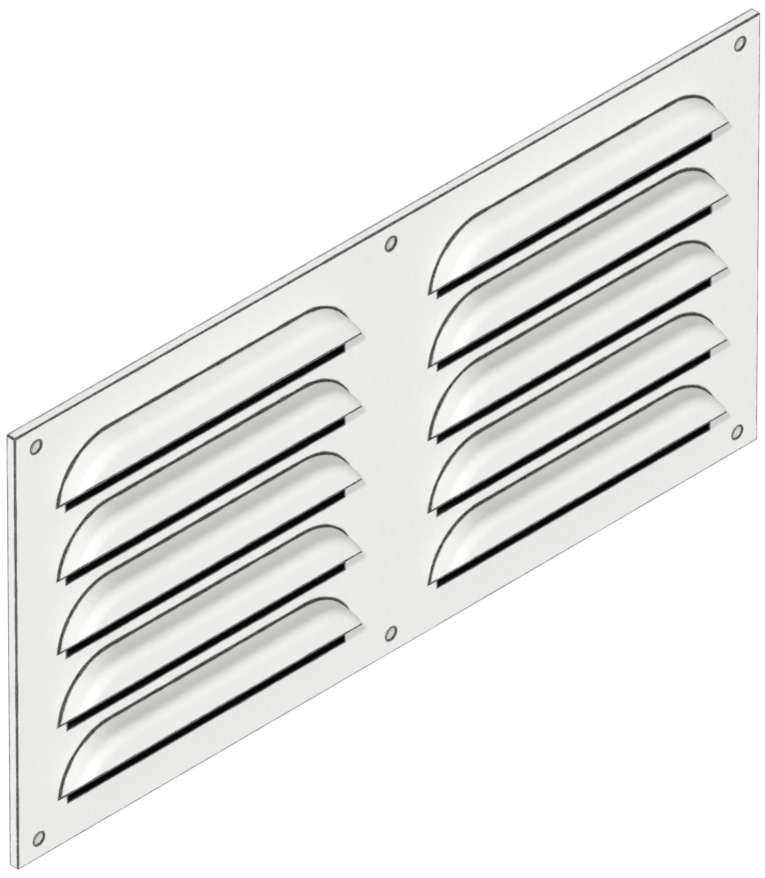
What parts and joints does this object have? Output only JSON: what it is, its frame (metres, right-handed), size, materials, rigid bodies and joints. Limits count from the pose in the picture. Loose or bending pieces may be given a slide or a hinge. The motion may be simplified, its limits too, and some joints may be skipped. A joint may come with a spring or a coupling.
{
  "type": "louvred sheet metal panel",
  "caption": "Rectangular sheet metal vent panel with rows of hooded louvres pressed out of the sheet and screw holes along its long edges.",
  "frame": {"origin": "middle of the back face, which is the mounting face", "axes": "+X along the width, +Y the side that faces up when the panel is fixed to a wall, +Z out of the front face; the hoods open towards -Y"},
  "size_m": [0.3, 0.15, 0.012],
  "materials": {
    "painted_sheet": "satin white powder coat"
  },
  "bodies": {
    "root": {"louvred_panel": "painted_sheet"}
  },
  "joints": []
}
